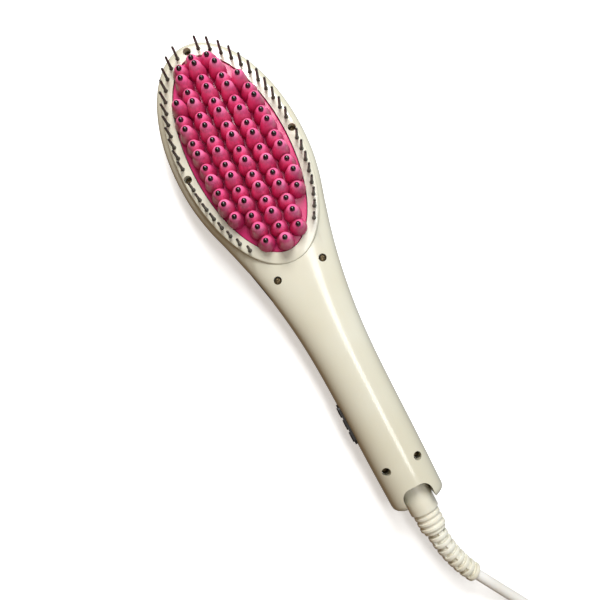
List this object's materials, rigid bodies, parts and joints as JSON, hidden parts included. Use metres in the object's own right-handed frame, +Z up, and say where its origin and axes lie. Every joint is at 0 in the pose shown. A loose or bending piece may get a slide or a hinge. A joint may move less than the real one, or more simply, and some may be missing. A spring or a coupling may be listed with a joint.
{
  "type": "heated styling brush",
  "caption": "Corded hair straightening brush: oval paddle head with a heated plate of beaded cones inside a ring of guard bristles, slim grip with flank keys, swivel cord.",
  "frame": {"origin": "on the resting plane, midway along the brush without its cord", "axes": "+X from the nose to the cord outlet, +Y to the flank without keys, +Z up, the way the cones point"},
  "size_m": [0.4451, 0.1236, 0.0441],
  "materials": {
    "casing": "glossy ivory",
    "heated_pink": "glossy pink enamel",
    "bead": "glossy black",
    "bristle": "satin black",
    "fastener": "dark",
    "silicone": "matt",
    "mica": "matt",
    "heater_metal": "plain",
    "board_green": "satin",
    "component": "matt",
    "wire_sheath": "satin",
    "dark_trim": "glossy black",
    "key": "satin",
    "smoked": "glossy black",
    "contact_brass": "plain",
    "cord_white": "satin white",
    "plug_white": "satin white",
    "pin_metal": "nickel plated"
  },
  "bodies": {
    "brush": {"front_shell": "casing", "back_shell": "casing", "case_screws": "fastener", "heater_plate": "heated_pink", "cone_tips": "bead", "guard_bristles": "bristle", "plate_gasket": "silicone", "heating_element": "heater_metal", "heater_insulator": "mica", "heater_retainer": "heater_metal", "retainer_screws": "fastener", "thermal_fuse": "heater_metal", "temperature_sensor": "component", "heater_leads": "wire_sheath", "supply_leads": "wire_sheath", "control_board": "board_green", "tact_switches": "component", "board_components": "component", "key_bezel": "dark_trim", "display_lens": "smoked", "display_module": "component", "contact_block": "plug_white", "contact_blades": "contact_brass", "strain_relief": "cord_white", "cord_lead": "cord_white", "cord_coil": "cord_white", "cord_tail": "cord_white", "cord_tie": "cord_white", "plug_body": "plug_white", "plug_pins": "pin_metal"},
    "power_key": {"power_key": "key"},
    "plus_key": {"plus_key": "key"},
    "minus_key": {"minus_key": "key"},
    "swivel": {"swivel_collar": "plug_white", "slip_rings": "contact_brass"}
  },
  "joints": [
    {"name": "plus_key_press", "type": "slide", "parent": "brush", "child": "plus_key", "axis": [0, 1, 0], "range_m": [0, 0.0006], "stiffness_N_per_m": 400},
    {"name": "minus_key_press", "type": "slide", "parent": "brush", "child": "minus_key", "axis": [0, 1, 0], "range_m": [0, 0.0006], "stiffness_N_per_m": 400},
    {"name": "power_key_press", "type": "slide", "parent": "brush", "child": "power_key", "axis": [0, 1, 0], "range_m": [0, 0.0006], "stiffness_N_per_m": 400},
    {"name": "cord_swivel", "type": "hinge", "parent": "brush", "child": "swivel", "pos_m": [0.128, 0, 0.0145], "axis": [1, 0, 0], "continuous": true}
  ]
}
